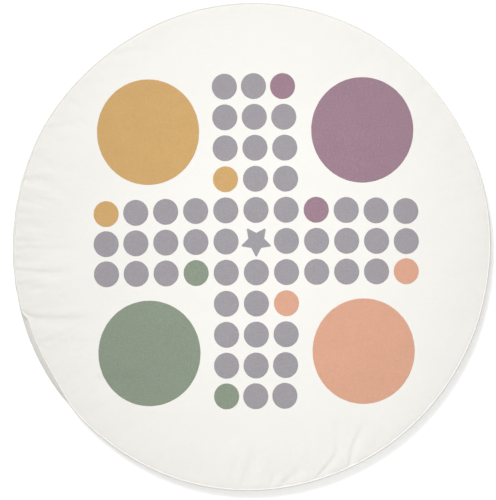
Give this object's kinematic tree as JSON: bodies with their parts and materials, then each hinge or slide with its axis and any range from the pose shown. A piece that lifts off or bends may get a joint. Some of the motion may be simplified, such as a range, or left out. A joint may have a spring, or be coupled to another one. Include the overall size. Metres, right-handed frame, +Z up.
{
  "type": "padded floor game mat",
  "caption": "Round foam-filled floor mat with a removable zipped cotton cover, printed with a cross-and-circle race game for four players.",
  "frame": {"origin": "centre of the underside, which rests on the floor", "axes": "+Z up through the play surface; +Y away from a player who sees the middle star standing on its point, +X to that player's right; the zip is on the far side and closes at its left-hand end"},
  "size_m": [1.1, 1.1, 0.03],
  "materials": {
    "canvas": "matt plain-weave cotton",
    "foam": "open-cell foam",
    "zip_tape": "woven polyester tape",
    "zip_coil": "satin nylon",
    "zip_metal": "satin nickel plate",
    "ink_grey": "matt print on cotton",
    "ink_mustard": "matt print on cotton",
    "ink_plum": "matt print on cotton",
    "ink_peach": "matt print on cotton",
    "ink_sage": "matt print on cotton"
  },
  "bodies": {
    "mat": {"foam_core": "foam", "top_panel": "canvas", "bottom_panel": "canvas", "top_piping": "canvas", "bottom_piping": "canvas", "side_band_plain": "canvas", "side_band_over_zip": "canvas", "side_band_under_zip": "canvas", "zip_tape_upper": "zip_tape", "zip_tape_lower": "zip_tape", "zip_coil_upper": "zip_coil", "zip_coil_lower": "zip_coil", "zip_top_stop_upper": "zip_metal", "zip_top_stop_lower": "zip_metal", "zip_bottom_stop": "zip_metal", "zip_end_tab_closed_end": "canvas", "zip_end_tab_open_end": "canvas", "print_track": "ink_grey", "print_star": "ink_grey", "print_home_mustard": "ink_mustard", "print_outer_start_mustard": "ink_mustard", "print_inner_start_mustard": "ink_mustard", "print_home_plum": "ink_plum", "print_outer_start_plum": "ink_plum", "print_inner_start_plum": "ink_plum", "print_home_peach": "ink_peach", "print_outer_start_peach": "ink_peach", "print_inner_start_peach": "ink_peach", "print_home_sage": "ink_sage", "print_outer_start_sage": "ink_sage", "print_inner_start_sage": "ink_sage"},
    "slider": {"zip_slider": "zip_metal"},
    "pull_tab": {"zip_pull_tab": "zip_metal"}
  },
  "joints": [
    {"name": "zip_slide", "type": "hinge", "parent": "mat", "child": "slider", "pos_m": [0, 0, 0.015], "axis": [0, 0, -1], "range_deg": [0, 82]},
    {"name": "pull_tab_swing", "type": "hinge", "parent": "slider", "child": "pull_tab", "pos_m": [-0.30263, 0.45722, 0.015], "axis": [0, 0, 1], "range_deg": [0, 175]}
  ]
}
